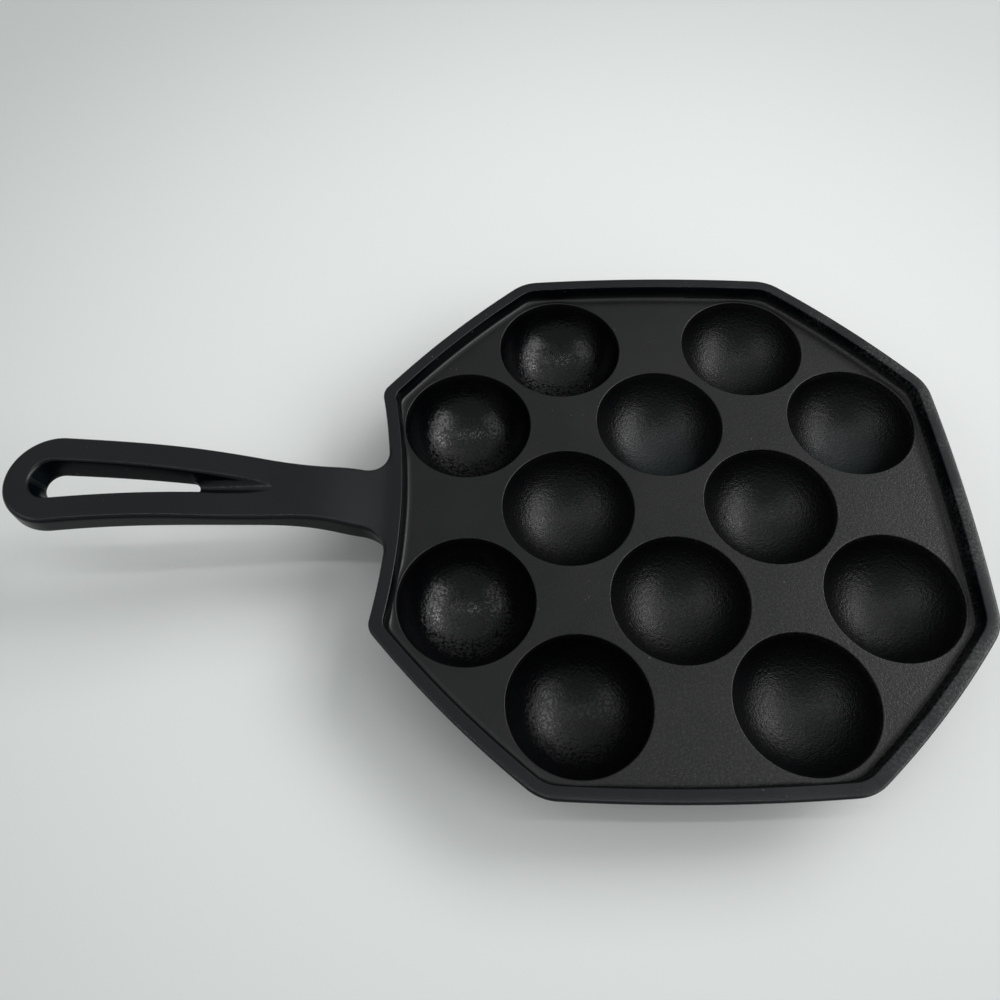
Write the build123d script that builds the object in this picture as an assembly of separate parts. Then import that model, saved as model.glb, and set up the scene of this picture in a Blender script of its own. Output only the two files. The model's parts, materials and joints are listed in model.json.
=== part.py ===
from build123d import *
import os
from math import sqrt, sin, cos, tan, radians

os.makedirs("parts", exist_ok=True)

# A twelve-well aebleskiver pan, one iron casting, in millimetres with +Z up.
# It is drawn with the pan's centre at x = y = 0 and the deck's top face at level zero,
# and its handle reaches towards -X. Each region of the casting is a solid of its own,
# and they meet face to face. Places along the handle are counted from the rim's edge at
# the middle of the handle side, and a table of shares follows the size named beside it.

# Wells
well_radius = 22.5
well_depth = 20.0
land_width = 3.8            # metal between two neighbouring wells, on the deck

# Deck and cups
deck_thickness = 5.0
foot_wall = 4.0             # metal between the bottom of a well and the cup's foot
foot_radius = 7.0           # small flat that each cup stands on
cup_gap = 0.8               # between the outsides of neighbouring cups, under the deck

# Rim
rim_height = 5.0            # above the deck
rim_width = 4.6             # across its top
side_margin = 8.4           # from the outermost wells to the rim's outer edge, on the square sides
diagonal_margin = 9.35      # the same, on the diagonal sides
side_bow = 1.7              # how far a square side's middle stands out from its ends
diagonal_bow = 1.95
hollow_bow = 4.5            # how far the middle of the handle side is drawn in
ear_reach = 0.1             # how far that side's two corners, the ears, stand out past the other sides
corner_radius = 16.0
ear_radius = 6.0
recess_corner_radius = 10.0
recess_ear_radius = 5.0
outer_draft = 13.0          # degrees, of the outer wall, which narrows downwards
recess_draft = 11.0         # degrees, of the inner wall
rim_round = 0.8             # on both edges of the rim's top
root_round = 2.2            # between the inner wall and the deck

# Handle
handle_length = 121.8
handle_rise = 16.8          # of its highest point above the rim
handle_thickness = 7.0      # at the loop
handle_round = 2.2
neck_half_width = 11.5      # where its flare at the rim ends
waist_half_width = 10.55
swell_half_width = 12.1     # where the grip begins to widen slowly
grip_half_width = 14.0
loop_radius = 16.1
loop_lean = 5.0             # degrees, by which the grip's sides still spread where the loop begins
root_flare = 8.5            # radius of the hollow between the neck and the rim
station_shares = [-0.04, 0.12, 0.29, 0.535, 0.78, 1.06]     # of its length, past both ends
rise_shares = [-0.2, 0.29, 0.517, 0.855, 1, 0.936]
thickness_shares = [1, 1.2, 0.85, 0.9, 1, 1]
waist_share = 0.165         # where the waist, the swell and the grip's middle lie along the length
swell_share = 0.367
grip_share = 0.6
neck_share = 0.27           # the solid neck's part of the length

# Slot through the handle, and the blind pocket that runs out of it towards the pan
slot_end_wall = 7.6         # from the handle's tip to the slot
slot_radius = 7.2           # of its round end at the top of the loop
slot_narrow_radius = 4.2    # of its other end, at the same level
slot_length = 56.0
slot_draft = 1.2            # how much it narrows all round through the loop's thickness
pocket_length = 23.0
pocket_tip_radius = 1.2
pocket_floor_share = 0.518  # of the handle's rise

overrun = 3.0               # by which a cut passes the face that it leaves

# Worked out from the sizes above
ball_radius = (well_radius**2 + well_depth**2) / (2 * well_depth)
ball_level = ball_radius - well_depth
foot_level = -well_depth - foot_wall
cup_radius = well_radius + (land_width - cup_gap) / 2
well_pitch = (2 * well_radius + land_width) / sqrt(2)
side_reach = 2 * well_pitch + well_radius + side_margin
diagonal_reach = 3 * well_pitch / sqrt(2) + well_radius + diagonal_margin
corner_high = side_reach - side_bow
corner_low = (diagonal_reach - diagonal_bow) * sqrt(2) - corner_high
ear_high = side_reach + ear_reach
ear_low = corner_high + corner_low - ear_high
root_reach = side_reach - hollow_bow
floor_inset = rim_width + rim_height * tan(radians(recess_draft))
rim_radii = (corner_radius, ear_radius)
recess_radii = (recess_corner_radius, recess_ear_radius)
handle_top = rim_height + handle_rise
middle_x = (side_reach - root_reach - handle_length) / 2


def side(start, end, bow):
    """One side of the octagon, an arc whose middle stands out by bow."""
    start, end = Vector(*start), Vector(*end)
    run = end - start
    outward = Vector(run.Y, -run.X).normalized()
    return ThreePointArc(start, (start + end) / 2 + outward * bow, end)


def outline(inset, radii, level):
    """The pan's outline drawn in by inset, its six corners and two ears rounded, as a face at a level."""
    corners = [
        (-corner_low, -corner_high), (corner_low, -corner_high),
        (corner_high, -corner_low), (corner_high, corner_low),
        (corner_low, corner_high), (-corner_low, corner_high),
        (-ear_high, ear_low), (-ear_high, -ear_low),
    ]
    bows = [side_bow, diagonal_bow] * 3 + [root_reach - ear_high, diagonal_bow]
    ends = corners[1:] + corners[:1]
    face = Sketch() + make_face([side(*each) for each in zip(corners, ends, bows)])
    if inset:
        face = offset(face, amount=-inset, kind=Kind.INTERSECTION)
    face = fillet(face.vertices().sort_by(Axis.X)[2:], radii[0])
    return Pos(0, 0, level) * fillet(face.vertices().sort_by(Axis.X)[:2], radii[1])


def well_places():
    """Twelve places, row by row from the far left, on a square lattice turned by 45 degrees."""
    cells = [(i, j) for j in (2, 1, 0, -1, -2) for i in (-2, -1, 0, 1, 2) if (i + j) % 2]
    return [Pos(i * well_pitch, j * well_pitch, 0) for i, j in cells]


def well():
    """The space inside one well, which runs on above its mouth."""
    return Pos(0, 0, ball_level) * Sphere(ball_radius)


def pan_block():
    """Rim and deck as a full block with its drafted outer wall."""
    foot_inset = (rim_height + deck_thickness) * tan(radians(outer_draft))
    foot = outline(foot_inset, rim_radii, -deck_thickness)
    return loft([foot, outline(0, rim_radii, rim_height)], ruled=True)


def tray():
    """Rim and deck in one, with the recess between them and its rounded edges."""
    recess = loft([
        outline(floor_inset, recess_radii, 0),
        outline(rim_width, recess_radii, rim_height),
    ], ruled=True)
    solid = pan_block() - recess
    solid = fillet(solid.edges().filter_by_position(Axis.Z, rim_height, rim_height), rim_round)
    return fillet(solid.edges().filter_by_position(Axis.Z, 0, 0), root_round)


def rim_and_deck():
    """The tray with the wells' mouths cut through, parted at the foot of the inner wall."""
    whole = tray()
    for place in well_places():
        whole -= place * well()
    seam = outline(floor_inset, recess_radii, -deck_thickness - overrun)
    core = extrude(seam, amount=deck_thickness + rim_height + 2 * overrun)
    return whole - core, whole & core


def cup():
    """One bowl under the deck: a ball-shaped shell round the well, cut flat at its foot."""
    top, foot = -deck_thickness, foot_level
    shell_level = (cup_radius**2 + top**2 - foot_radius**2 - foot**2) / (2 * (top - foot))
    shell_radius = sqrt(foot_radius**2 + (foot - shell_level)**2)
    band = Pos(0, 0, (top + foot) / 2) * Cylinder(2 * shell_radius, top - foot)
    return (Pos(0, 0, shell_level) * Sphere(shell_radius) & band) - well()


def along(place):
    """The x of a place along the handle."""
    return -root_reach - place


def handle_profile():
    """The handle from the side: its top line, and its underside a thickness below."""
    top, low = [], []
    for station, rise, thickness in zip(station_shares, rise_shares, thickness_shares):
        x = along(station * handle_length)
        z = rim_height + rise * handle_rise
        top.append((x, z))
        low.append((x, z - thickness * handle_thickness))
    ends = [Line(top[0], low[0]), Line(top[-1], low[-1])]
    return Plane.XZ * make_face([Spline(top), Spline(low)] + ends)


def handle_plan():
    """The handle from above: hollow flares at the rim, a waist, and a round loop."""
    flare_y = neck_half_width + root_flare
    root_place = (ear_high - root_reach) * (flare_y / ear_low)**2
    stub = (along(-overrun), flare_y)
    root = (along(root_place), flare_y)
    flare = (along(root_place + root_flare), neck_half_width)
    hollow = Vector(flare[0], flare_y) + Vector(root_flare, -root_flare) / sqrt(2)
    waist = (along(waist_share * handle_length), waist_half_width)
    swell = (along(swell_share * handle_length), swell_half_width)
    grip = (along(grip_share * handle_length), grip_half_width)
    lean = Vector(cos(radians(loop_lean)), sin(radians(loop_lean)))
    loop = (along(handle_length - loop_radius * (1 + lean.Y)), loop_radius * lean.X)
    far = [
        Line(stub, root),
        ThreePointArc(root, hollow, flare),
        Spline(flare, waist, swell, grip, loop, tangents=[(-1, 0), (-lean.X, lean.Y)]),
    ]
    near = [mirror(edge, Plane.XZ) for edge in far]
    tip = ThreePointArc(loop, (along(handle_length), 0), (loop[0], -loop[1]))
    return make_face(far + near + [tip, Line(stub, (stub[0], -stub[1]))])


def between_rounds(first_place, first_radius, second_place, second_radius, level):
    """A slot's outline round two circles along the handle, as a face at a level."""
    first = Pos(along(first_place), 0) * Circle(first_radius)
    second = Pos(along(second_place), 0) * Circle(second_radius)
    return Pos(0, 0, level) * make_hull(first.edges() + second.edges())


def slot():
    """The hole right through the loop and the blind pocket beside it."""
    wide = handle_length - slot_end_wall - slot_radius
    narrow = wide + slot_radius - slot_length + slot_narrow_radius
    sections = []
    for level in (rim_height, handle_top + overrun):
        inset = slot_draft * (handle_top - level) / handle_thickness
        radii = slot_radius - inset, slot_narrow_radius - inset
        sections.append(between_rounds(wide, radii[0], narrow, radii[1], level))
    floor = rim_height + pocket_floor_share * handle_rise
    pocket_radius = slot_narrow_radius - slot_draft / 2
    pocket = between_rounds(narrow, pocket_radius, narrow - pocket_length, pocket_tip_radius, floor)
    return loft(sections, ruled=True) + extrude(pocket, amount=handle_rise)


def handle():
    """Neck and grip in one, from the rim's outer wall to the tip."""
    half_span = loop_radius + overrun
    bar = extrude(Pos(0, half_span, 0) * handle_profile(), amount=2 * half_span)
    solid = bar & extrude(Pos(0, 0, -handle_top) * handle_plan(), amount=3 * handle_top)
    long_edges = [
        edge for face in solid.faces() if abs(face.normal_at().Z) > 0.5
        for edge in face.edges() if edge.center().X < along(0)
    ]
    return fillet(long_edges, handle_round) - pan_block() - slot()


def neck_and_grip():
    """The handle parted where the solid neck ends."""
    whole = handle()
    split = Plane.YZ.offset(along(neck_share * handle_length))
    return whole.split(split, keep=Keep.TOP), whole.split(split, keep=Keep.BOTTOM)


def export(solid, name):
    """Writes one region in the part's own frame: centred in x, and standing at z = 0."""
    export_step(Pos(-middle_x, 0, -foot_level) * solid, f"parts/{name}.step")


rim, deck = rim_and_deck()
neck, grip = neck_and_grip()
export(rim, "rim")
export(deck, "griddle_deck")
export(neck, "handle_neck")
export(grip, "handle_grip")
for number, place in enumerate(well_places(), start=1):
    export(place * cup(), f"cup_{number:02}")
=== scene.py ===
# %% [markdown]
# An aebleskiver pan is one piece of cast iron: an octagonal plate with twelve ball-shaped wells, a low
# raised rim, and a handle with a long slot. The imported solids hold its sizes. This lesson builds its
# finished skin round them: the rounded edges, the fillets and the grain of seasoned iron.

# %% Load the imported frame
import bmesh
import bpy
import json
import numpy as np
from math import asin, cos, pi, radians, sin, sqrt, tan
from mathutils import Matrix, Vector
from mathutils.geometry import delaunay_2d_cdt

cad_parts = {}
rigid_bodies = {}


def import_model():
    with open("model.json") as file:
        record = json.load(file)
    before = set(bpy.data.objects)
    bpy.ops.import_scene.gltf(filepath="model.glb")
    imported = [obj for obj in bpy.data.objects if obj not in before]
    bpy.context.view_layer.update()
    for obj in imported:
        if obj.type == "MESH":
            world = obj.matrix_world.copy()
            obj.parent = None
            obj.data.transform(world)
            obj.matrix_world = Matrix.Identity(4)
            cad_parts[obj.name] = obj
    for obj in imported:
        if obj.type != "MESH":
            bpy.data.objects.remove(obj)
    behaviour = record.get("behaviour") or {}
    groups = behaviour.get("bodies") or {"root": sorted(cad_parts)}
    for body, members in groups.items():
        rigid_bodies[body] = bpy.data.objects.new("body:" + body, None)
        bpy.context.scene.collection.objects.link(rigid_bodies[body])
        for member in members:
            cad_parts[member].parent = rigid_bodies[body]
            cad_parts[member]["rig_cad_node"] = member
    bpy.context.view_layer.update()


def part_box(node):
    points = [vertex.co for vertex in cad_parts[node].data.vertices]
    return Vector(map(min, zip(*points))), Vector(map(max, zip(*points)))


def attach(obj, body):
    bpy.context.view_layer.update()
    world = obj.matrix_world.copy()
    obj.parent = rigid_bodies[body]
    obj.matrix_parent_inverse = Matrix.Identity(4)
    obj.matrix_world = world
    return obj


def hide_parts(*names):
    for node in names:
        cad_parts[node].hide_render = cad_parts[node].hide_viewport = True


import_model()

# %% [markdown]
# A caster writes sizes in millimetres, and Blender works in metres. The shapes below are worked out in
# millimetres, with the pan's middle at x = y = 0 and the deck's top at level zero. One place, home,
# then carries every finished mesh to where the solids stand.

# %% Sizes of the casting, in millimetres
MM = 0.001
well_radius, well_depth, land_width = 22.5, 20.0, 3.8
deck_thickness, foot_wall, foot_radius, cup_gap = 5.0, 4.0, 7.0, 0.8
rim_height, rim_width = 5.0, 4.6
side_margin, diagonal_margin = 8.4, 9.35
side_bow, diagonal_bow, hollow_bow, ear_reach = 1.7, 1.95, 4.5, 0.1
corner_radius, ear_radius = 16.0, 6.0
foot_corner_radius, foot_ear_radius = 10.0, 5.0      # where the rim's inner wall meets the deck
outer_draft, recess_draft = radians(13), radians(11)
handle_length = 121.8

ball_radius = (well_radius**2 + well_depth**2) / (2 * well_depth)
ball_level = ball_radius - well_depth
foot_level = -well_depth - foot_wall
well_pitch = (2 * well_radius + land_width) / sqrt(2)
side_reach = 2 * well_pitch + well_radius + side_margin
diagonal_reach = 3 * well_pitch / sqrt(2) + well_radius + diagonal_margin
root_reach = side_reach - hollow_bow
corner_high = side_reach - side_bow
corner_low = (diagonal_reach - diagonal_bow) * sqrt(2) - corner_high
ear_high = side_reach + ear_reach
ear_low = corner_high + corner_low - ear_high
home = np.array([(handle_length + root_reach - side_reach) / 2, 0, -foot_level])
cells = [(i, j) for j in (2, 1, 0, -1, -2) for i in (-2, -1, 0, 1, 2) if (i + j) % 2]
wells = np.array(cells) * well_pitch
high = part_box("rim")[1]
lost = side_reach - (high.x / MM - home[0])
print(f"the rounded edge of the rim's solid lies {lost:.2f} mm inside the sharp edge of these sizes")

# %% [markdown]
# Every surface here is a grid: rows of points that follow a profile, and columns that carry it along.
# Solids with bevels would give the same forms, but a grid says exactly where each point lies. The
# faces between the points come from the grid's numbering alone, so one helper turns any such array
# into a mesh. Rows that shrink to a point, as at the bottom of a bowl, are merged.

# %% Turn a grid of points into a mesh
MERGE = 2e-7                            # metres; points that lie nearer to each other become one
CREASE = radians(42)                    # edges that turn more than this are shaded sharp


def quads(rows, columns, wrap_rows=False, wrap_columns=True):
    """Corner numbers of the quads between neighbouring points of a rows x columns grid."""
    number = np.arange(rows * columns).reshape(rows, columns)
    if wrap_rows:
        number = np.vstack([number, number[:1]])
    if wrap_columns:
        number = np.hstack([number, number[:, :1]])
    corners = number[:-1, :-1], number[:-1, 1:], number[1:, 1:], number[1:, :-1]
    return np.stack(corners, axis=-1).reshape(-1, 4)


def make_piece(name, points, faces, node):
    """A smooth mesh at its place in the frame, merged and facing outwards, that stands for a solid."""
    mesh = bpy.data.meshes.new(name)
    mesh.from_pydata(((np.asarray(points) + home) * MM).tolist(), [], [list(face) for face in faces])
    shell = bmesh.new()
    shell.from_mesh(mesh)
    bmesh.ops.remove_doubles(shell, verts=shell.verts, dist=MERGE)
    open_edges = [edge for edge in shell.edges if edge.is_boundary]
    if open_edges:
        bmesh.ops.holes_fill(shell, edges=open_edges)
    bmesh.ops.recalc_face_normals(shell, faces=shell.faces)
    if shell.calc_volume(signed=True) < 0:
        bmesh.ops.reverse_faces(shell, faces=shell.faces)
    loose = sum(not edge.is_manifold for edge in shell.edges)
    shell.to_mesh(mesh)
    shell.free()
    mesh.shade_smooth()
    mesh.set_sharp_from_angle(angle=CREASE)
    piece = bpy.data.objects.new(name, mesh)
    bpy.context.scene.collection.objects.link(piece)
    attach(piece, "root")
    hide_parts(node)
    print(f"{name}: {len(mesh.polygons)} faces, {loose} open or doubled edges")


# %% Lines, roundings and soft steps
def bend(start, corner, end, count):
    """A rounded corner as a quadratic Bezier: (1-t)^2 start + 2t(1-t) corner + t^2 end.

    It leaves start towards the corner and reaches end from it, so it is tangent to both faces."""
    t = np.linspace(0, 1, count).reshape((count,) + (1,) * np.ndim(start))
    return (1 - t)**2 * start + 2 * t * (1 - t) * corner + t**2 * end


def ease_in(value, low, high):
    """A soft step from 0 at low to 1 at high: 3t^2 - 2t^3."""
    t = np.clip((value - low) / (high - low), 0, 1)
    return t * t * (3 - 2 * t)


def between(start, end, count, ends=False):
    """Evenly spaced points from start to end, without the two ends unless they are asked for."""
    t = np.linspace(0, 1, count + 2).reshape((count + 2,) + (1,) * np.ndim(start))
    line = (1 - t) * start + t * end
    return line if ends else line[1:-1]


def round_about(angle, radius=1.0):
    """Places on a circle about the origin: (radius cos angle, radius sin angle)."""
    return radius * np.stack([np.cos(angle), np.sin(angle)], axis=1)


def from_nearest_well(plan):
    """How far each place lies from the middle of the nearest well."""
    return np.hypot(*(plan[:, None] - wells[None]).transpose(2, 0, 1)).min(axis=1)


print("half way along a soft step it stands at", ease_in(0.5, 0, 1))

# %% [markdown]
# The rim's outer edge is an octagon whose sides bow outwards a little, apart from the handle's side,
# which is drawn in. A drawn curve could follow it, but true arcs stay true at every distance inside the
# edge. So each side is an arc, and each corner a small arc that touches both. The wall's foot and the
# deck's line are such outlines too, and the points between them lie on straight lines.

# %% The octagon's edge
CORNER_STEPS, SIDE_STEPS = 16, 60


def arcs(starts, ends, bows):
    """Centres and signed radii of arcs whose middles stand out by bow.

    radius = (half chord^2 + bow^2) / (2 bow), negative for a side that is drawn in."""
    run = ends - starts
    chord = np.hypot(*run.T)
    outward = np.stack([run[:, 1], -run[:, 0]], axis=1) / chord[:, None]
    radii = (chord**2 / 4 + bows**2) / (2 * bows)
    return (starts + ends) / 2 + outward * (bows - radii)[:, None], radii


def corner_centre(first, first_reach, second, second_reach, corner):
    """The point at a known distance from two centres, on the side of the corner."""
    gap = second - first
    span = np.hypot(*gap)
    along = (first_reach**2 - second_reach**2 + span**2) / (2 * span)
    across = sqrt(first_reach**2 - along**2)
    base = first + gap * along / span
    turned = np.array([-gap[1], gap[0]]) / span * across
    return min((base + turned, base - turned), key=lambda point: np.hypot(*(point - corner)))


def outline(inset, radii):
    """Points of the edge drawn in by inset, anticlockwise, with its own radius for each corner.

    Every side keeps its centre, and every corner is a circle at the right distance from two of them."""
    corners = np.array([
        (-corner_low, -corner_high), (corner_low, -corner_high),
        (corner_high, -corner_low), (corner_high, corner_low),
        (corner_low, corner_high), (-corner_low, corner_high),
        (-ear_high, ear_low), (-ear_high, -ear_low),
    ])
    bows = np.array([side_bow, diagonal_bow] * 3 + [root_reach - ear_high, diagonal_bow])
    centres, sides = arcs(corners, np.roll(corners, -1, axis=0), bows)
    sides = sides - inset
    before = np.roll(np.arange(8), 1)
    rounds = np.array([
        corner_centre(centres[b], abs(sides[b] - radii[k]), centres[k], abs(sides[k] - radii[k]), corners[k])
        for k, b in enumerate(before)
    ])
    into = (rounds - centres[before]) / (sides[before] - radii)[:, None]
    out = (rounds - centres) / (sides - radii)[:, None]
    points = []
    for k in range(8):
        for centre, radius, start, end, count in (
            (rounds[k], radii[k], into[k], out[k], CORNER_STEPS),
            (centres[k], sides[k], out[k], into[(k + 1) % 8], SIDE_STEPS),
        ):
            first = np.arctan2(start[1], start[0])
            turn = (np.arctan2(end[1], end[0]) - first + pi) % (2 * pi) - pi
            points.append(centre + round_about(first + turn * np.arange(count) / count, radius))
    return np.concatenate(points)


floor_inset = rim_width + rim_height * tan(recess_draft)
fillet_room = 3.5
outer_radii = np.array([corner_radius] * 6 + [ear_radius] * 2)
foot_radii = np.array([foot_corner_radius] * 6 + [foot_ear_radius] * 2)
edge = outline(0, outer_radii)
wall_foot = outline(floor_inset, foot_radii)
deck_line = outline(floor_inset + fillet_room, foot_radii)
print(f"the edge has {len(edge)} points, {np.hypot(*(edge - np.roll(edge, 1, 0)).T).sum():.1f} mm round")


def drawn_in(inset):
    """Places at a distance inside the edge, on straight lines from edge to wall foot to deck line."""
    inset = np.asarray(inset)[..., None]
    outer = edge + (wall_foot - edge) * inset / floor_inset
    inner = wall_foot + (deck_line - wall_foot) * (inset - floor_inset) / fillet_room
    return np.where(inset < floor_inset, outer, inner)


# %% [markdown]
# A casting has no sharp edges, and light shows every rounding. Round the foot of the rim's inner wall
# runs a hollow fillet of about two millimetres, which narrows where a well comes close to it and climbs
# higher at the right. A bevel would round all edges alike. Here each rounding has its own size, because
# the rim's whole section is one closed profile carried round the octagon.

# %% Sizes of the rim's section
ring_radius = well_radius + 0.55        # of the flat that each well's mouth keeps round itself
edge_leg = 1.12                         # how far the rim's outer roundings reach along each face
lip_leg = 0.55                          # the same, of the inner edge of its top
fillet_reach, fillet_rise, right_rise = 2.1, 2.1, 3.2
fillet_softness = 0.25                  # where the fillet's full width gives way to a well
climb_from, climb_to = -20, 70          # x between which the fillet climbs to its height at the right
top_crown = 0.04                        # how far the middle of the rim's top stands above its edges
crown_from, crown_to = -80, -60         # x between which the top gets its crown, clear of the handle
seam_band = 0.12                        # exactly flat, so that shading doesn't show the seam
under_band = 0.3                        # flat of the underside, inside its rounded edge
tuck_in, tuck_up = 0.4, 0.1             # the last row, hidden in the metal
skirt_inset = (rim_height + deck_thickness) * tan(outer_draft)
under_inset = skirt_inset + edge_leg + under_band
FILLET_ROWS, WALL_ROWS, LIP_ROWS, TOP_ROWS = 10, 4, 7, 7
EDGE_ROWS, SKIRT_ROWS, HEEL_ROWS = 9, 6, 8


# %% Rim
def fillet_widths():
    """The fillet's reach at each point of the edge: its full width, or the room before a well.

    The smaller of the two is taken softly, as -k log(e^(-a/k) + e^(-b/k))."""
    room = from_nearest_well(wall_foot) - ring_radius - 2 * seam_band
    print(f"the narrowest room for the fillet is {room.min():.2f} mm")
    both = np.exp(-fillet_reach / fillet_softness) + np.exp(-room / fillet_softness)
    return -fillet_softness * np.log(both)


def rim_profile(reach):
    """Rows of (inset, level) round the section: fillet, inner wall, top, outer wall, underside.

    A wall's inset grows by tan(draft) with each step down, and the top is crowned as 1 - t^2."""
    full = np.ones_like(reach)
    at = lambda inset, level: np.stack([inset * full, level * full], axis=1)
    inner = lambda level: at(rim_width + (rim_height - level) * tan(recess_draft), level)
    outer = lambda level: at((rim_height - level) * tan(outer_draft), level)
    climb = (right_rise - fillet_rise) * ease_in(edge[:, 0], climb_from, climb_to)
    rise = (fillet_rise + climb) * reach / fillet_reach
    across = np.linspace(-1, 1, TOP_ROWS + 2)[1:-1, None, None]
    crown = (1 - across**2) * (top_crown * ease_in(edge[:, 0], crown_from, crown_to))[None, :, None]
    lip, shoulder, heel = rim_height - lip_leg, rim_height - edge_leg, edge_leg - deck_thickness
    top_inner, top_outer = at(rim_width - lip_leg, rim_height), at(edge_leg, rim_height)
    return np.concatenate([
        [at(floor_inset + reach + seam_band, 0)],
        bend(at(floor_inset + reach, 0), at(floor_inset, 0), inner(rise), FILLET_ROWS),
        between(inner(rise), inner(lip), WALL_ROWS),
        bend(inner(lip), inner(rim_height), top_inner, LIP_ROWS),
        between(top_inner, top_outer, TOP_ROWS) + crown * [0, 1],
        bend(top_outer, outer(rim_height), outer(shoulder), EDGE_ROWS),
        between(outer(shoulder), outer(heel), SKIRT_ROWS),
        bend(outer(heel), outer(-deck_thickness), at(skirt_inset + edge_leg, -deck_thickness), HEEL_ROWS),
        [at(under_inset, -deck_thickness), at(under_inset + tuck_in, tuck_up - deck_thickness)],
    ])


def rim():
    """The section carried round: every point of it drawn in from the edge, at its level."""
    profile = rim_profile(fillet_widths())
    points = np.concatenate([drawn_in(profile[..., 0]), profile[..., 1:]], axis=2)
    make_piece("rim_skin", points.reshape(-1, 3), quads(*points.shape[:2], wrap_rows=True), "rim")
    return points[0]


deck_edge = rim()

# %% [markdown]
# The wells are parts of balls, so each is a profile turned round its own axis: up from the bottom of
# the ball to a softly rounded mouth. Under the deck the same piece goes on as the outside of the cup,
# flat at its foot. There the cups melt into each other and into the plate with casting fillets. Metaballs
# would melt them too, but loosely. Here the underside is the level where a soft union of the balls and
# the plate ends, so every size stays exact.

# %% Under the deck: a soft union of balls and plate
top, foot = -deck_thickness, foot_level
cup_radius = well_radius + (land_width - cup_gap) / 2
shell_level = (cup_radius**2 + top**2 - foot_radius**2 - foot**2) / (2 * (top - foot))
shell_radius = sqrt(foot_radius**2 + (foot - shell_level)**2)
web_softness, foot_softness = 1.3, 0.12
fade_width = 2.2                        # over which the fillets die out towards the rim
search_below, search_above = 2.0, 1.0   # past the foot and the plate, where the level is looked for
HALVINGS = 26
print(f"a cup is part of a ball of {shell_radius:.2f} mm about level {shell_level:.2f}")


def under_level(plan):
    """The underside's level at each place in plan.

    A point lies on the skin where -k log(sum of e^(-d/k)) is zero, with d its distance from each ball
    and from the plate. That sum falls steadily with the level, so halving an interval finds it. The
    foot is the softer maximum of that level and the foot's plane."""
    low = np.full(len(plan), foot - search_below)
    high = np.full(len(plan), top + search_above)
    across = ((plan[:, None] - wells[None])**2).sum(axis=2)
    for _ in range(HALVINGS):
        level = (low + high) / 2
        ball = np.sqrt(across + (level[:, None] - shell_level)**2) - shell_radius
        field = np.exp(-(top - level) / web_softness) + np.exp(-ball / web_softness).sum(axis=1)
        inside = field > 1
        high = np.where(inside, level, high)
        low = np.where(inside, low, level)
    return foot + foot_softness * np.log1p(np.exp((level - foot) / foot_softness))


# %% How far each cup's share of the underside reaches
BOWL_COLUMNS = 160                      # directions round a well
FINE_COLUMNS = 7200                     # directions in which the share's own corners are looked for


def cell_edge(centre):
    """Directions from a well's middle, and how far its share of the underside reaches in each.

    The share ends half way to every neighbour, or at the rim. Where these two meet, the exact
    direction is added, so that neighbouring shares close without a notch."""
    others = wells[np.hypot(*(wells - centre).T) > 1] - centre
    away = drawn_in(np.full(len(edge), under_inset)) - centre
    away = away[np.argsort(np.arctan2(away[:, 1], away[:, 0]))]
    bearing = np.arctan2(away[:, 1], away[:, 0])

    def reaches(angle):
        towards = np.maximum(round_about(angle) @ others.T, 1e-9)
        halfway = ((others**2).sum(axis=1) / 2 / towards).min(axis=1)
        return halfway, np.interp(angle, bearing, np.hypot(*away.T), period=2 * pi)

    fine = np.arange(FINE_COLUMNS) * 2 * pi / FINE_COLUMNS
    halfway, rim_side = reaches(fine)
    gap = halfway - rim_side
    after = np.roll(gap, -1)
    turns = np.nonzero(gap * after < 0)[0]
    exact = fine[turns] + gap[turns] / (gap[turns] - after[turns]) * (fine[1] - fine[0])
    angle = np.sort(np.concatenate([np.arange(BOWL_COLUMNS) * 2 * pi / BOWL_COLUMNS, exact]))
    halfway, rim_side = reaches(angle)
    return angle, np.minimum(halfway, rim_side), rim_side <= halfway + 1e-6


# %% Twelve cups
mouth_leg = 0.42                        # how far the rounding of a well's mouth reaches
steep_turn = radians(72)                # how far the rows follow the cup's ball before they spread
BALL_ROWS, MOUTH_ROWS, FOOT_ROWS, WEB_ROWS = 46, 9, 42, 16


def bowl_profile():
    """Rows of (radius, level) from the bottom of the well to the flat round its mouth.

    On the ball, at an angle a from its bottom, they are (R sin a, level - R cos a)."""
    rise = ball_level + mouth_leg
    wall = sqrt(ball_radius**2 - rise**2)
    turn = np.linspace(0, np.arctan2(wall, rise), BALL_ROWS)
    ball = np.stack([ball_radius * np.sin(turn), ball_level - ball_radius * np.cos(turn)], axis=1)
    corner, end = np.array([well_radius, 0.0]), np.array([well_radius + mouth_leg, 0.0])
    mouth = bend(np.array([wall, -mouth_leg]), corner, end, MOUTH_ROWS)
    return np.concatenate([ball, mouth[1:], [[ring_radius, 0.0]]])


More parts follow.
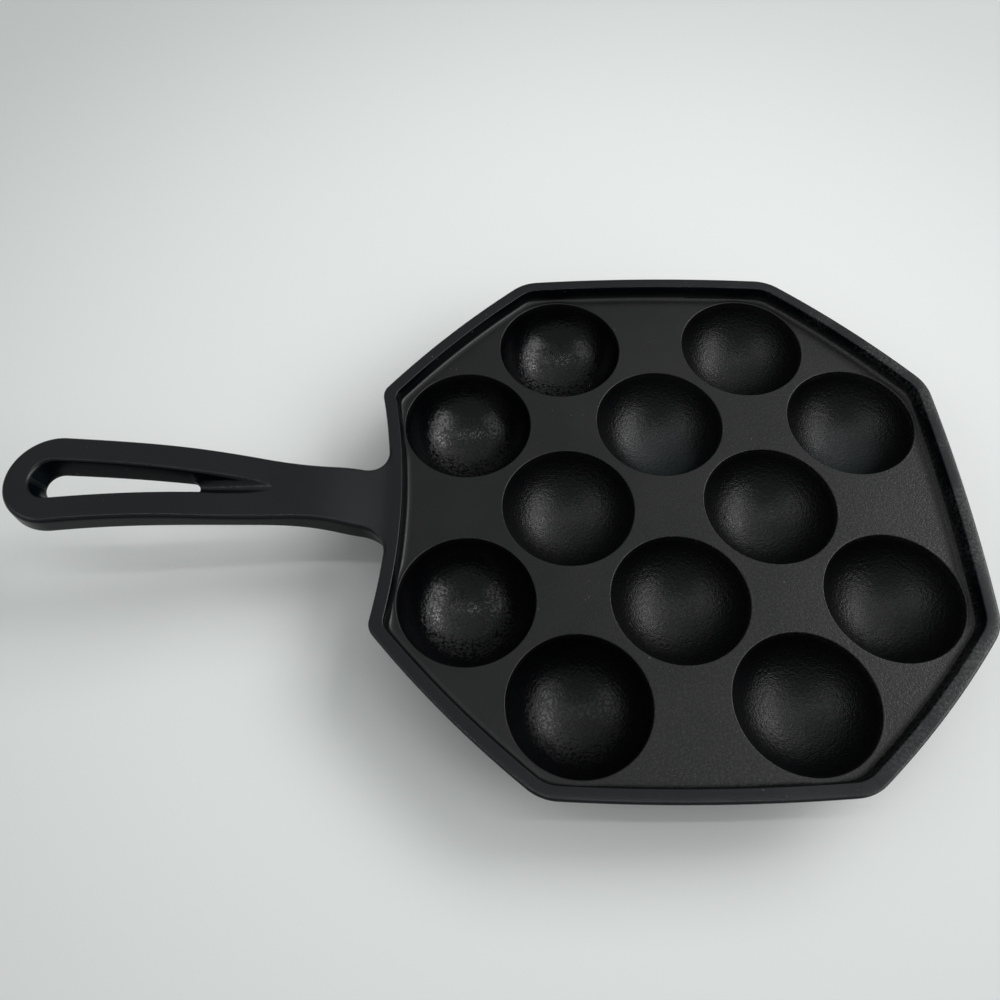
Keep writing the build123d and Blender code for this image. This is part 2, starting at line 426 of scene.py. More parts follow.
def cup(name, centre):
    """One cup, closed: the well, then down inside the metal, then in along the underside."""
    angle, rim_reach, at_rim = cell_edge(centre)
    heading = round_about(angle)
    inner = bowl_profile()
    inner_level = np.broadcast_to(inner[:, None, 1:], (len(inner), len(angle), 1))
    inside = np.concatenate([inner[:, None, :1] * heading[None], inner_level], axis=2)
    steep = shell_radius * np.sin(np.linspace(0, steep_turn, FOOT_ROWS))
    outward = np.linspace(0, 1, WEB_ROWS + 1)[1:, None]**2
    radius = np.concatenate([
        np.broadcast_to(steep[:, None], (FOOT_ROWS, len(angle))),
        steep[-1] + (rim_reach[None] - steep[-1]) * outward,
    ])
    plan = radius[..., None] * heading[None]
    level = under_level((plan + centre).reshape(-1, 2)).reshape(radius.shape)
    fade = np.where(at_rim[None], ease_in(rim_reach[None] - radius, 0, fade_width), 1)
    level = top + (level - top) * fade
    outside = np.concatenate([plan, level[..., None]], axis=2)[::-1]
    points = np.concatenate([inside, outside]) + [*centre, 0]
    make_piece(name.replace("cup", "bowl"), points.reshape(-1, 3), quads(*points.shape[:2]), name)


for number, centre in enumerate(wells, start=1):
    cup(f"cup_{number:02}", centre)

# %% [markdown]
# What is left between the rim and the twelve mouths is flat. Cutting twelve holes into a plate would
# leave its own edges beside theirs. So its edges are the very points of those pieces, and nothing shows
# where they meet. A constrained triangulation fills the space between them, and the plate gets its
# thickness from a second, hidden copy a little lower.

# %% Deck
hidden_share = 0.8                      # of the deck's thickness, down to the hidden copy
ON_BORDERS, TRIANGLE_TOLERANCE = 1, 1e-7


def deck():
    """The flat between the rim's fillet and the wells: triangles whose middles lie in neither."""
    loops = [deck_edge[:, :2]]
    for centre in wells:
        loops.append(centre + round_about(cell_edge(centre)[0], ring_radius))
    counts = [len(loop) for loop in loops]
    starts = np.cumsum([0] + counts)
    borders = [
        (start + k, start + (k + 1) % count) for start, count in zip(starts, counts) for k in range(count)
    ]
    corners = [Vector(point) for point in np.concatenate(loops)]
    found = delaunay_2d_cdt(corners, borders, [], ON_BORDERS, TRIANGLE_TOLERANCE)
    plan = np.array([tuple(point) for point in found[0]])
    triangles = np.array(found[2])
    middle = plan[triangles].mean(axis=1)
    triangles = triangles[from_nearest_well(middle) > ring_radius * cos(pi / BOWL_COLUMNS)]
    count = len(plan)
    points = np.concatenate([
        np.c_[plan, np.zeros(count)], np.c_[plan, np.full(count, hidden_share * top)],
    ])
    edges = np.concatenate([triangles[:, [0, 1]], triangles[:, [1, 2]], triangles[:, [2, 0]]])
    seen = {tuple(pair) for pair in edges.tolist()}
    rimmed = np.array([pair for pair in seen if pair[::-1] not in seen])
    walls = np.c_[rimmed[:, ::-1], rimmed + count]
    faces = triangles.tolist() + (triangles[:, ::-1] + count).tolist() + walls.tolist()
    make_piece("cooking_deck", points, faces, "griddle_deck")


deck()

# %% [markdown]
# The handle grows out of the rim without a seam: its top starts level with the rim's top and climbs,
# and its sides sweep into the rim's wall in hollow arcs. At its end it is a round loop about a slot that
# narrows to a blind pocket. A cut through a solid bar would leave hard edges to bevel. So its skin is a
# grid whose columns run round the outline, and whose rows go from the slot's mouth over the top, round
# the edge and back underneath to the slot.

# %% Curves of the handle, from the side
start_x = -root_reach + 1.2             # where the handle's top leaves the rim's top
top_places = [0, 7.5, 15.8, 36.5, 66.4, 96.2, 130]
top_rises = [0, 1.6, 4.5, 8.35, 13.8, 16.0, 15.0]
under_places = [-6, 0, 8, 15.8, 36.5, 66.4, 96.2, 130]
under_levels = [-4.8, -4.3, -1.7, 0.8, 7.1, 12.3, 13.8, 12.9]


def smooth_curve(x, knots, values, first_slope=None, last_slope=None):
    """A cubic through the knots whose slope and bend never jump, natural where no slope is given.

    The bends m at the knots solve h m[k-1] + 2 (h + g) m[k] + g m[k+1] = 6 (rise/g - rise/h)."""
    knots, values = np.asarray(knots, float), np.asarray(values, float)
    h = np.diff(knots)
    slope = np.diff(values) / h
    size = len(knots)
    system, right = np.zeros((size, size)), np.zeros(size)
    inner = np.arange(1, size - 1)
    system[inner, inner - 1] = h[:-1]
    system[inner, inner] = 2 * (h[:-1] + h[1:])
    system[inner, inner + 1] = h[1:]
    right[1:-1] = 6 * np.diff(slope)
    system[0, 0] = system[-1, -1] = 1
    if first_slope is not None:
        system[0, :2] = 2 * h[0], h[0]
        right[0] = 6 * (slope[0] - first_slope)
    if last_slope is not None:
        system[-1, -2:] = h[-1], 2 * h[-1]
        right[-1] = 6 * (last_slope - slope[-1])
    bends = np.linalg.solve(system, right)
    k = np.clip(np.searchsorted(knots, x) - 1, 0, size - 2)
    a, b = knots[k + 1] - x, x - knots[k]
    return (
        (bends[k] * a**3 + bends[k + 1] * b**3) / (6 * h[k])
        + (values[k] / h[k] - bends[k] * h[k] / 6) * a
        + (values[k + 1] / h[k] - bends[k + 1] * h[k] / 6) * b
    )


def hollow_side(y):
    """How far the drawn-in side of the rim lies behind its middle, at a distance y from the middle."""
    return (ear_high - root_reach) * (y / ear_low)**2


def distance_out(plan):
    """How far a place lies from where the top leaves the rim, following the rim's hollow."""
    return start_x - plan[..., 0] - hollow_side(plan[..., 1])


def top_level(plan):
    """The top: level with the rim at first, then climbing. Inside the rim it sinks the same way."""
    out = distance_out(plan)
    rise = smooth_curve(np.abs(out), top_places, top_rises, first_slope=0)
    return rim_height + np.sign(out) * rise


def under_side(plan):
    """The underside's level, from a curve of its own."""
    return smooth_curve(distance_out(plan), under_places, under_levels)


print(f"the handle's top climbs {max(top_rises)} mm above the rim")

# %% Outline of the handle, from above
neck_half, waist_half, swell_half, grip_half = 11.2, 10.4, 11.9, 13.8
flare_radius, loop_radius, loop_lean = 8.0, 15.95, radians(5)
waist_place, swell_place, grip_place = 0.165 * handle_length, 0.367 * handle_length, 0.6 * handle_length
flare_y = neck_half + flare_radius
flare_x = -root_reach - hollow_side(flare_y) - flare_radius
loop_x = -root_reach - handle_length + loop_radius
root_run, root_dip = 6, 0.5             # the edge's first stretch, along the rim and a little inside it
mouth_tip, narrow_x = -132.2, -158.5    # where the pocket's tip and the slot's narrow end lie
ROOT, FLARE, NECK, POCKET, GRIP, LOOP = 8, 22, 20, 28, 46, 30


def stretch(start, end, count):
    """Count values from start up to, not including, end."""
    return start + (end - start) * np.arange(count) / count


def outward_of(line):
    """Directions square to an open line of points, on its right."""
    step = np.gradient(line, axis=0)
    step /= np.hypot(*step.T)[:, None]
    return np.stack([step[:, 1], -step[:, 0]], axis=1)


def handle_edge():
    """The far half of the outline, from inside the rim to the tip, with its outward directions."""
    y = stretch(flare_y + root_run, flare_y, ROOT)
    inset = root_dip * ((y - flare_y) / root_run)**2
    root = np.stack([-root_reach - hollow_side(y) + inset, y], axis=1)
    flare = [flare_x, flare_y] + round_about(-stretch(0, pi / 2, FLARE), flare_radius)
    loop_start = loop_x + loop_radius * sin(loop_lean)
    stations = [root_reach + place for place in (waist_place, swell_place, grip_place)]
    knots = [-flare_x, *stations, -loop_start]
    halves = [neck_half, waist_half, swell_half, grip_half, loop_radius * cos(loop_lean)]
    places = np.concatenate([
        stretch(-flare_x, -mouth_tip, NECK),
        stretch(-mouth_tip, -narrow_x, POCKET),
        stretch(-narrow_x, -loop_start, GRIP),
    ])
    side = np.stack([-places, smooth_curve(places, knots, halves, 0, tan(loop_lean))], axis=1)
    loop = [loop_x, 0] + round_about(np.linspace(pi / 2 - loop_lean, pi, LOOP + 1), loop_radius)
    line = np.concatenate([root, flare, side, loop])
    outward = outward_of(line)
    outward[-1] = -1, 0
    return line, outward


line, outward = handle_edge()
print(f"the handle is {2 * line[:, 1][ROOT + FLARE:].max():.1f} mm wide at its loop")

# %% Slot and pocket, from above
wide_x, mouth_cap, mouth_narrow, mouth_wide = -202.3, -157.0, 3.9, 7.15
hole_wide_x, hole_narrow, hole_wide = -200.7, 2.4, 5.1
floor_cap, floor_tip = -149.0, -132.6
CAP = 7                                 # columns between the pocket's cap and its straight side


def wide_end(narrow, middle, wide):
    """How far a slot's side leans, where it starts, and its points on round the wide end.

    It leans by asin((wide - narrow) / run), so that it touches the circles at both ends."""
    lean = asin((wide - narrow) / (narrow_x - middle))
    side, end = np.array([sin(lean), cos(lean)]), [middle, 0]
    joint = [narrow_x, 0] + narrow * side
    run = between(joint, end + wide * side, GRIP - 1, ends=True)[:-1]
    turn = end + round_about(np.linspace(pi / 2 - lean, pi, LOOP + 1), wide)
    return lean, joint, np.concatenate([run, turn])


def with_outward(line):
    """A line and its outward directions, which point along x at both ends, on the mirror's plane."""
    outward = outward_of(line)
    outward[0], outward[-1] = (1, 0), (-1, 0)
    return line, outward


def slot_line(tip, cap, narrow, middle, wide):
    """Half of a drop-shaped line: a quarter ellipse from tip to cap, a straight side and a round end."""
    _, joint, rest = wide_end(narrow, middle, wide)
    angle = np.linspace(0, pi / 2, POCKET - CAP)
    point = np.stack([cap + (tip - cap) * np.cos(angle), narrow * np.sin(angle)], axis=1)
    return with_outward(np.concatenate([point, between(point[-1], joint, CAP), rest]))


def hole_line(drawn_in):
    """Half of the hole right through: round at both ends, with the pocket's columns on its near end."""
    narrow, wide = hole_narrow - drawn_in, hole_wide - drawn_in
    lean, _, rest = wide_end(narrow, hole_wide_x, wide)
    near = [narrow_x, 0] + round_about(stretch(0, pi / 2 - lean, POCKET), narrow)
    return with_outward(np.concatenate([near, rest]))


print(f"the slot's mouth is {mouth_tip - wide_x + mouth_wide:.1f} mm long")

# %% Outside of the handle
neck_leg, under_leg = 1.6, 1.2          # how far its upper and lower edges' roundings reach
neck_draft, grip_draft = outer_draft, radians(0.5)
UPPER_ROWS, SIDE_ROWS, LOWER_ROWS, FACE_ROWS = 11, 5, 10, 7


def lift(plan, level):
    """Places in plan, each at its level."""
    return np.concatenate([plan, level[..., None]], axis=-1)


def outer_rows(line, outward, top_start, under_end):
    """Rows from the slot's mouth over the top, round the edge and back underneath.

    A point round the edge lies at edge - outward * inset, and a share of the thickness below the top."""
    count = len(line)
    ease = ease_in(np.arange(count), ROOT, ROOT + FLARE)
    leg = edge_leg + (neck_leg - edge_leg) * ease
    low_leg = edge_leg + (under_leg - edge_leg) * ease
    draft = np.tan(neck_draft + (grip_draft - neck_draft) * ease)
    thick = top_level(line) - under_side(line)
    at = lambda inset, drop: np.stack([inset, drop], axis=1)
    upper, lower = at(leg * draft, leg), at((thick - low_leg) * draft, thick - low_leg)
    section = np.concatenate([
        bend(at(leg, 0 * leg), at(0 * leg, 0 * leg), upper, UPPER_ROWS),
        between(upper, lower, SIDE_ROWS),
        bend(lower, at(thick * draft, thick), at(thick * draft + low_leg, thick), LOWER_ROWS),
    ])
    plan = line[None] - outward[None] * section[..., :1]
    over = between(top_start, plan[0], FACE_ROWS, ends=True)[:-1]
    under = between(plan[-1], under_end, FACE_ROWS, ends=True)[1:]
    plan = np.concatenate([over, plan, under])
    all_top, all_under = np.zeros((len(over), count)), np.ones((len(under), count))
    share = np.concatenate([all_top, section[..., 1] / thick, all_under])
    return lift(plan, top_level(plan) * (1 - share) + under_side(plan) * share)


# %% Walls of the slot and floor of the pocket
floor_start, floor_depth, floor_crown = 12.9, 0.12, 1.5
floor_power = 1.8                       # of the curve in which the pocket's floor climbs to its tip
mouth_round, hole_round, hole_lip = 1.0, 0.35, 0.5
hole_inset = 0.1                        # by which the hole narrows to its lower end
wall_base = 0.8                         # height above the underside where the slot's wall is parted
wall_limit, ledge_limit, fall_limit = 0.45, 0.4, 0.6     # the most that a rounding takes of each
BRIM_ROWS, SLOPE_ROWS, LEDGE_ROWS, TURN_ROWS, FALL_ROWS, EXIT_ROWS = 7, 9, 5, 5, 3, 6


def pocket_floor(plan, tip_level):
    """The floor's level: it climbs to the tip as a power of the distance, hollow across as y^2."""
    climbed = np.clip((plan[:, 0] - narrow_x) / (floor_tip - narrow_x), 0, 1)**floor_power
    return floor_start + (tip_level - floor_start) * climbed + floor_crown * (plan[:, 1] / hole_narrow)**2


def slot_rows():
    """Rows from the top down the slot's wall, over the pocket's floor and down the hole to the underside."""
    mouth, out = slot_line(mouth_tip, mouth_cap, mouth_narrow, wide_x, mouth_wide)
    base, _ = slot_line(floor_tip, floor_cap, hole_narrow, hole_wide_x, hole_wide)
    lip, _ = hole_line(0)
    hole, hole_out = hole_line(hole_inset)
    pocket = np.arange(len(mouth)) < POCKET
    tip_level = top_level(base[:1])[0] - floor_depth
    parted = under_side(base) + wall_base
    base_level = np.where(pocket, pocket_floor(base, tip_level), parted)
    lip_level = np.where(pocket, pocket_floor(lip, tip_level), parted)
    lip = np.where(pocket[:, None], lip, base)
    base, lip = lift(base, base_level), lift(lip, lip_level)
    height = top_level(mouth) - base_level
    leg = np.minimum(mouth_round, wall_limit * height)[:, None]
    start_plan, edge_top = mouth + out * leg, lift(mouth, top_level(mouth))
    start = lift(start_plan, top_level(start_plan))
    mouth_end = edge_top + (base - edge_top) * leg / height[:, None]
    width = np.linalg.norm(lip - base, axis=1)[:, None]
    step = np.minimum(hole_lip, ledge_limit * width)
    hole_bottom = lift(hole, under_side(hole))
    fall = lip[:, 2:] - hole_bottom[:, 2:]
    lip_out = lip + (base - lip) / np.maximum(width, 1e-6) * step
    lip_low = lip + (hole_bottom - lip) * step / fall
    above = hole_bottom + (lip - hole_bottom) * np.minimum(hole_round, fall_limit * fall) / fall
    end_plan = hole + hole_out * hole_round
    end = lift(end_plan, under_side(end_plan))
    return np.concatenate([
        bend(start, edge_top, mouth_end, BRIM_ROWS),
        between(mouth_end, base, SLOPE_ROWS),
        [base],
        between(base, lip_out, LEDGE_ROWS),
        bend(lip_out, lip, lip_low, TURN_ROWS),
        between(lip_low, above, FALL_ROWS),
        bend(above, hole_bottom, end, EXIT_ROWS),
    ])


# %% Handle
inside_x = -root_reach + 2.6            # where the handle's skin ends, hidden inside the rim


def mirrored(rows):
    """The far half of some rows and its mirror image across y = 0, joined at the tip."""
    near = rows[:, ::-1][:, 1:] * [1, -1, 1]
    return np.concatenate([rows, near], axis=1)


def middle_line(end_x, count):
    """Places on the middle line from inside the rim up to, not including, an x."""
    return np.stack([np.linspace(inside_x, end_x, count + 1)[:-1], np.zeros(count)], axis=1)


def handle():
    """Both skins in one mesh: the outer one, open at the rim, and the slot's, which closes on itself."""
    slot = slot_rows()
    neck = ROOT + FLARE + NECK
    top_start = np.concatenate([middle_line(mouth_tip + mouth_round, neck), slot[0, :, :2]])
    under_end = np.concatenate([middle_line(slot[-1, 0, 0], neck), slot[-1, :, :2]])
    outer = mirrored(outer_rows(line, outward, top_start, under_end))
    first, last = outer[:, :1].copy(), outer[:, -1:].copy()
    first[..., 0] = last[..., 0] = inside_x
    outer = np.concatenate([first, outer, last], axis=1)
    inner = mirrored(slot)
    points = np.concatenate([outer.reshape(-1, 3), inner.reshape(-1, 3)])
    faces = np.concatenate([
        quads(*outer.shape[:2], wrap_columns=False),
        quads(*inner.shape[:2], wrap_columns=False) + outer.shape[0] * outer.shape[1],
    ])
    make_piece("handle_skin", points, faces, "handle_grip")


handle()
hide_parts("handle_neck")

# %% [markdown]
# The photographer stood close and looked down steeply. A camera could be aimed at a target, but the
# slight roll wouldn't fit. So it is a place and three angles: how far it looks down, how far round, and
# the roll.

# %% Camera
eye = Vector((-59.65, -151.97, 264.99))
looks_down, looks_round, roll = radians(59.74), radians(-0.68), radians(0.13)
lens, sensor, nearest = 32.27, 36, 0.01
camera = bpy.data.objects.new("camera", bpy.data.cameras.new("camera"))
bpy.context.scene.collection.objects.link(camera)
tilt = Matrix.Rotation(looks_round, 4, "Z") @ Matrix.Rotation(pi / 2 - looks_down, 4, "X")
spin = Matrix.Rotation(roll, 4, "Z")
camera.matrix_world = Matrix.Translation((eye + Vector(home)) * MM) @ tilt @ spin
camera.data.lens = lens
camera.data.sensor_width = sensor
camera.data.clip_start = nearest
bpy.context.scene.camera = camera
print(f"the camera stands {eye.length:.0f} mm from the pan's middle")

# %% [markdown]
# A material is a small sum: grain plus stains, times a mask. Linking such nodes one by one hides the
# sum. Python can write it directly once a socket knows the operators. The class below wraps one, and a
# bench adds every other kind of node.

# %% Shader sums in plain Python
class Wire:
    """One output socket. Python's operators on it add Math nodes behind it."""

    def __init__(self, bench, socket):
        self.bench, self.socket = bench, socket

    def __add__(self, other):
        return self.bench.maths("ADD", self, other)

    def __radd__(self, other):
        return self.bench.maths("ADD", other, self)

    def __sub__(self, other):
        return self.bench.maths("SUBTRACT", self, other)

    def __rsub__(self, other):
        return self.bench.maths("SUBTRACT", other, self)

    def __mul__(self, other):
        return self.bench.maths("MULTIPLY", self, other)

    def __rmul__(self, other):
        return self.bench.maths("MULTIPLY", other, self)


class Bench:
    """The node tree of one material. Its method node adds any node and returns one output as a Wire."""

    def __init__(self, name):
        self.material = bpy.data.materials.new(name)
        self.material.use_nodes = True
        self.tree = self.material.node_tree
        self.shader = self.tree.nodes["Principled BSDF"]
        self.place = self.node("ShaderNodeTexCoord", "Object", {}, {})

    def feed(self, sockets, values):
        """Gives each named socket its link, its colour, which is opaque, or its number."""
        named = {socket.identifier: socket for socket in sockets}
        for key, value in values.items():
            if isinstance(value, Wire):
                self.tree.links.new(value.socket, named[key])
            elif named[key].type == "RGBA":
                named[key].default_value = (*value, 1)
            else:
                named[key].default_value = value

    def node(self, kind, output, settings, values):
        """Adds a node of a kind, sets it up, feeds its sockets and gives one of its outputs."""
        made = self.tree.nodes.new(kind)
        for key, value in settings.items():
            setattr(made, key, value)
        self.feed(made.inputs, values)
        return Wire(self, next(socket for socket in made.outputs if socket.identifier == output))

    def maths(self, operation, first, second):
        """A Math node on two numbers or wires."""
        values = {"Value": first, "Value_001": second}
        return self.node("ShaderNodeMath", "Value", {"operation": operation}, values)

    def grain(self, size, detail=2.0, warp=0.0):
        """Noise from 0 to 1 whose spots are about size millimetres across."""
        values = {"Vector": self.place, "Scale": 1 / (size * MM), "Detail": detail, "Distortion": warp}
        return self.node("ShaderNodeTexNoise", "Fac", {}, values)

    def away_from(self, point):
        """How many millimetres the surface lies from a point, which is given in metres."""
        values = {"Vector": self.place, "Vector_001": tuple(point)}
        return self.node("ShaderNodeVectorMath", "Value", {"operation": "DISTANCE"}, values) * (1 / MM)

    def step(self, value, low, high):
        """A soft step: 0 below low, 1 above high, 3t^2 - 2t^3 between them."""
        values = {"Value": value, "From Min": low, "From Max": high}
        return self.node("ShaderNodeMapRange", "Result", {"interpolation_type": "SMOOTHSTEP"}, values)

    def blend(self, mask, first, second):
        """One colour where the mask is 0, the other where it is 1."""
        values = {"Factor_Float": mask, "A_Color": first, "B_Color": second}
        return self.node("ShaderNodeMix", "Result_Color", {"data_type": "RGBA"}, values)


# %% [markdown]
# Seasoned iron is nearly black: baked oil takes up almost all light, and what the eye sees is its satin
# gloss. So its colour stays close to nothing, and roughness and grain make the look. A photographed
# texture would freeze one pan's spots. Noise at the real sizes doesn't: sand of half a millimetre
# everywhere, and a coarser skin like leather in the wells. Four wells hold a film of oil, which is far
# glossier, and near the bottom dry specks break it up. Light and shade are also painted into the colour:
# the wells' black is darker, as painted shade, and a painted grey sheen lies on the right side of the
# deck and of the rim, and low in two other wells.

# %% Iron: its regions
centre_x, deck_level = float(home[0]) * MM, float(home[2]) * MM
# painted sheen: the wells that get it, and where its middle lies
sheen_wells, sheen_offset = [4, 5], [3, -3, -16]
below_deck, above_deck = (0.6, 3.0), (1.0, 4.0)         # where a well and the rim begin, softly
# the right sides of the deck and of the rim, where painted sheen greys the colour
wear_and_sheen_right, rim_sheen_right = (-60, 95), (0, 100)         # how far right of the middle each grows
sheen_edge, sheen_unevenness = (9, 18), 5                 # millimetres from its middle
wear_and_sheen_slant = 0.5                                        # how far right its edge runs per millimetre back


def find_regions(bench):
    """Keeps on the bench the noises, and masks from 0 to 1 by height and place in millimetres."""
    x, y, z = (bench.node("ShaderNodeSeparateXYZ", axis, {}, {"Vector": bench.place}) for axis in "XYZ")
    bench.sand = bench.grain(0.5, detail=1.5)
    bench.mottle = bench.grain(1.0, detail=2.5)
    bench.pebbles = bench.grain(1.15, detail=2.5, warp=0.4)
    bench.stains = bench.grain(16, detail=4.0)
    bench.depth = (deck_level - z) * (1 / MM)
    bench.in_well = bench.step(bench.depth, *below_deck)
    bench.on_top = 1 - bench.in_well
    bench.on_deck = 1 - bench.step((z - deck_level) * (1 / MM), *above_deck)
    bench.rightward = bench.step((x - centre_x) * (1 / MM), *rim_sheen_right)
    slanted = (x - y * wear_and_sheen_slant - centre_x) * (1 / MM)
    # the deck's right side: painted sheen greys its colour there, and worn spots roughen its relief
    bench.wear = bench.step(slanted, *wear_and_sheen_right) * bench.on_top * bench.on_deck


def well_sheen(bench):
    """A painted sheen low in each of these wells, with an edge that the stains make uneven."""
    patches = 0
    for number in sheen_wells:
        middle = (np.array([*wells[number - 1], 0]) + home + sheen_offset) * MM
        away = bench.away_from(middle) + bench.stains * sheen_unevenness
        patches = patches + (1 - bench.step(away, *sheen_edge))
    return patches


# %% Iron: its colours
cool_black, warm_black = (0.0015, 0.0018, 0.0021), (0.0034, 0.0034, 0.0034)
# painted shade: the wells' black is darker than the deck's; the rim's black is bluish
well_shade_black, rim_black = (0.0006, 0.0008, 0.0013), (0.0006, 0.0020, 0.0032)
# painted sheen: greys that make the right side of the deck and of the rim lighter
right_sheen_grey, rim_sheen_grey = (0.020, 0.0195, 0.018), (0.040, 0.043, 0.044)
# painted sheen: a bluish grey low in two wells; pale grey for the chips
well_sheen_grey, chip_grey = (0.019, 0.0235, 0.026), (0.10, 0.10, 0.095)
# thresholds of the noises for warm spots, for the painted sheen on the deck and the rim, and for chips
warm_spots, right_sheen_share, rim_sheen_share = (0.3, 0.7), (0.42, 0.74), (0.36, 0.7)
rim_sheen_areas, chip_share, chip_areas = (0.4, 0.6), (0.77, 0.81), (0.46, 0.6)     # where noise makes a spot


def iron_colour(bench):
    """Blacks by region, and darker in the wells as painted shade. Then painted sheen: grey on the right
    side of the deck and of the rim, and low in two wells. Last, pale chips in clusters.
    """
    color = bench.blend(bench.step(bench.stains, *warm_spots), cool_black, warm_black)
    # painted shade: a darker black in the wells
    color = bench.blend(bench.in_well, color, well_shade_black)
    color = bench.blend(1 - bench.on_deck, color, rim_black)
    # painted sheen: grey in spots on the deck's right side
    color = bench.blend(bench.step(bench.mottle, *right_sheen_share) * bench.wear, color, right_sheen_grey)
    # painted sheen: grey in patches on the rim's right side
    rim_sheen = bench.rightward * (1 - bench.on_deck) * bench.step(bench.stains, *rim_sheen_areas)
    color = bench.blend(bench.step(bench.mottle, *rim_sheen_share) * rim_sheen, color, rim_sheen_grey)
    # painted sheen: bluish grey low in two wells
    color = bench.blend(well_sheen(bench) * bench.in_well, color, well_sheen_grey)
    chips = bench.step(bench.grain(1.1, detail=1.0), *chip_share)
    clusters = bench.step(bench.grain(45, detail=2.0), *chip_areas)
    return bench.blend(chips * clusters * bench.on_top, color, chip_grey)


# %% Iron: its gloss and grain
satin, deck_dullness, stain_dullness, well_dullness = 0.21, 0.07, 0.10, 0.03
oil_gloss, speck_dullness = 0.22, 0.42
fine_grain, well_grain, leather, worn_spots = 0.045, 0.09, 0.22, 0.10      # heights in millimetres
filled_grain, filled_leather = 0.08, 0.09                                  # what a full film evens out
dry_share, speck_depth, speck_unevenness = (0.45, 0.54), (17.5, 21.5), 9


def iron_roughness(bench, oil):
    """Satin and duller on the deck. A film makes a well glossier, but not its dry specks low down."""
    low_down = bench.step(bench.depth + bench.mottle * speck_unevenness, *speck_depth)
    dry = bench.step(bench.grain(1.0, detail=2.5, warp=0.6), *dry_share) * low_down
    in_well = bench.in_well * (well_dullness - oil * (oil_gloss - dry * speck_dullness))
    return satin + bench.on_deck * deck_dullness + bench.stains * stain_dullness + in_well


def iron_relief(bench, oil):
    """Its height in millimetres: sand, coarser in the wells, then leather in them and worn spots."""
    sand = bench.sand * (fine_grain + bench.in_well * (well_grain - filled_grain * oil))
    skin = bench.pebbles * bench.in_well * (leather - filled_leather * oil)
    return sand + skin + bench.mottle * bench.wear * worn_spots


def seasoned_iron(name, oil, gloss):
    """The casting's finish; oil, from 0 to 1, is how much of a film lies in the well."""
    bench = Bench(name)
    find_regions(bench)
    relief = {"Strength": 1.0, "Distance": MM, "Height": iron_relief(bench, oil)}
    bench.feed(bench.shader.inputs, {
        "Base Color": iron_colour(bench),
        "Roughness": iron_roughness(bench, oil),
        "Normal": bench.node("ShaderNodeBump", "Normal", {}, relief),
        "Specular IOR Level": gloss,
    })
    print(f"{name}: {len(bench.tree.nodes)} nodes")
    return bench.material


iron = seasoned_iron("seasoned_iron", oil=0.2, gloss=0.5)
damp_iron = seasoned_iron("damp_iron", oil=0.6, gloss=0.42)
oiled_iron = seasoned_iron("oiled_iron", oil=1.0, gloss=0.5)
raw_iron = seasoned_iron("raw_iron", oil=0.0, gloss=0.12)

# %% [markdown]
# Each piece gets its finish. The steep walls of the handle and the rim are duller than what lies flat
# and is wiped with oil, and the film stays inside the wells. A painted mask could part them, but here
# the way that a face looks is enough, so those faces get a second material.

# %% Give every piece its finish
finishes = {"bowl_01": oiled_iron, "bowl_03": oiled_iron, "bowl_08": oiled_iron, "bowl_11": damp_iron}
steep_on_handle, steep_on_rim = 0.5, 0.72       # a face is steep where its normal's z is below this


def paint_below(name, second, limit):
    """Gives a second material to the faces of a piece whose normal's z is below a limit."""
    skin = bpy.data.objects[name].data
    skin.materials.append(second)
    normals = np.empty(3 * len(skin.polygons))
    skin.polygons.foreach_get("normal", normals)
    skin.polygons.foreach_set("material_index", (normals[2::3] < limit).astype(int).tolist())
    print(f"{name}: {int((normals[2::3] < limit).sum())} faces get {second.name}")


for piece in bpy.data.objects:
    if piece.type == "MESH" and "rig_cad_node" not in piece:
        piece.data.materials.append(finishes.get(piece.name, iron))
paint_below("handle_skin", raw_iron, steep_on_handle)
paint_below("rim_skin", raw_iron, steep_on_rim)
for name in finishes:
    paint_below(name, iron, 0.0)

# %% [markdown]
# The pan was photographed on white paper, between two bright panels and under a thin strip of light,
# which the glossiest wells mirror as two patches joined by a line. Overhead, beyond the strip, the
# ceiling is a dim grey, and that grey is what the flat deck mirrors. A picture of a studio would light
# it too, but plain lamps can be placed one by one until their reflections fit.

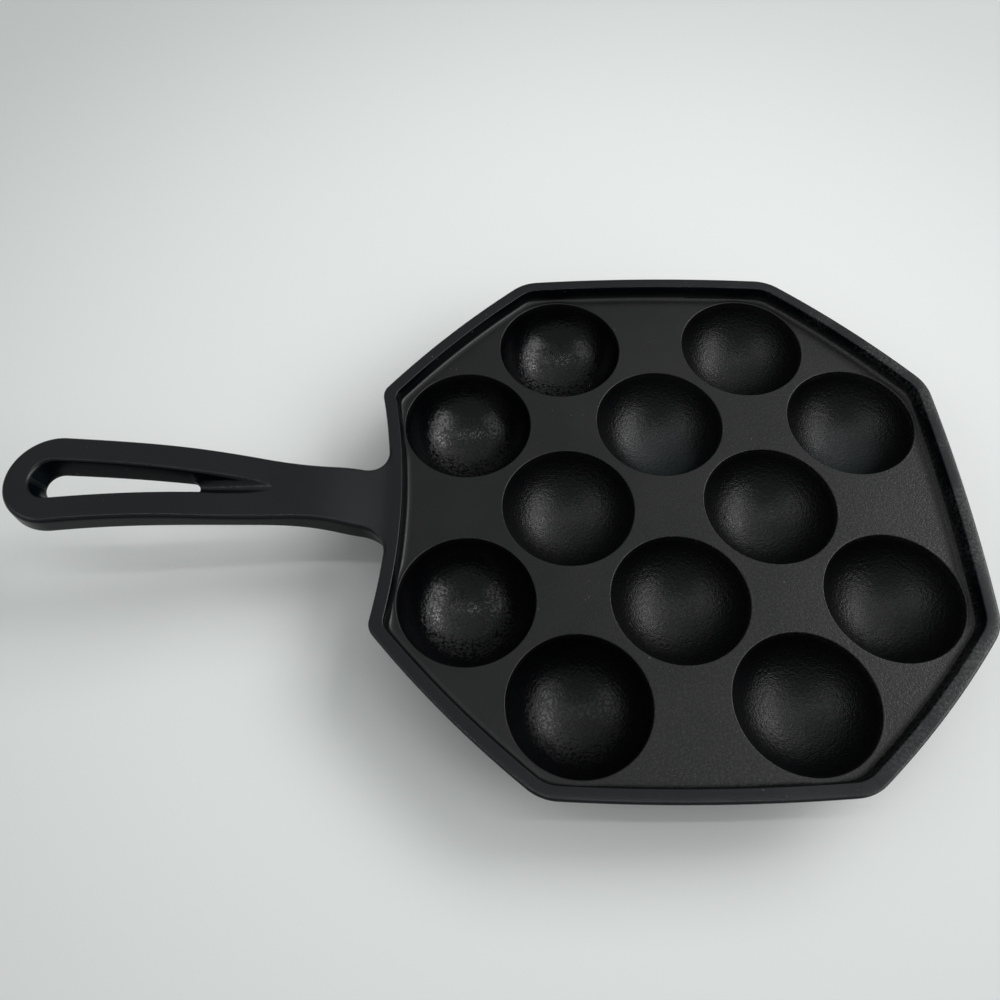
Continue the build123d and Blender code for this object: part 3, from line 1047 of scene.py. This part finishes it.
# %% Paper
# painted light: a pool of light on the paper, near white at its brightest place and grey further out
near_white, painted_shade_grey = (0.97, 0.99, 0.975), (0.68, 0.70, 0.695)
brightest = (centre_x - 40 * MM, 60 * MM, 0)
fades = (100, 400)                      # millimetres from the brightest place
floor_half = 3                          # metres
paper = Bench("pale_paper")
# painted light: the paper's colour fades with the distance from its brightest place
shade = paper.step(paper.away_from(brightest), *fades)
paper.feed(paper.shader.inputs, {"Base Color": paper.blend(shade, near_white, painted_shade_grey), "Roughness": 0.9})
corners = [(-1, -1, 0), (1, -1, 0), (1, 1, 0), (-1, 1, 0)]
mesh = bpy.data.meshes.new("floor")
mesh.from_pydata([(floor_half * x, floor_half * y, z) for x, y, z in corners], [], [(0, 1, 2, 3)])
floor = bpy.data.objects.new("floor", mesh)
floor.data.materials.append(paper.material)
bpy.context.scene.collection.objects.link(floor)
print(f"the floor is {2 * floor_half} m wide")

# %% Lights
room_light, room_strength = (0.95, 1.0, 0.99), 0.25
world = bpy.data.worlds.new("room")
bpy.context.scene.world = world
world.use_nodes = True
background = world.node_tree.nodes["Background"].inputs
background["Color"].default_value = (*room_light, 1)
background["Strength"].default_value = room_strength


def panel(name, place, width, depth, radiance, target):
    """A lamp that faces a target, its width and depth in metres. Its radiance sets its power."""
    lamp = bpy.data.lights.new(name, "AREA")
    lamp.shape = "RECTANGLE"
    lamp.size, lamp.size_y = width, depth
    lamp.energy = radiance * 4 * width * depth
    lit = bpy.data.objects.new(name, lamp)
    lit.location = place
    lit.rotation_euler = (Vector(target) - Vector(place)).to_track_quat("-Z", "Y").to_euler()
    bpy.context.scene.collection.objects.link(lit)
    print(f"{name}: {lamp.energy:.2f} W")


pan_middle = (0.05, 0, 0)
panel("right_panel", (1.5, -0.2, 1.15), 1.9, 0.9, 1.9, pan_middle)
panel("left_panel", (-1.5, -0.35, 1.35), 1.5, 0.8, 0.65, pan_middle)
panel("ceiling", (0, 1.0, 1.5), 3.0, 1.7, 0.11, (0, 1.0, 0))
panel("right_ceiling", (1.5, 1.0, 1.5), 1.6, 1.4, 2.9, (1.5, 1.0, 0))
panel("strip", (0, -0.13, 1.5), 1.7, 0.03, 10, (0, -0.13, 0))

bpy.context.scene.view_settings.view_transform = "Standard"
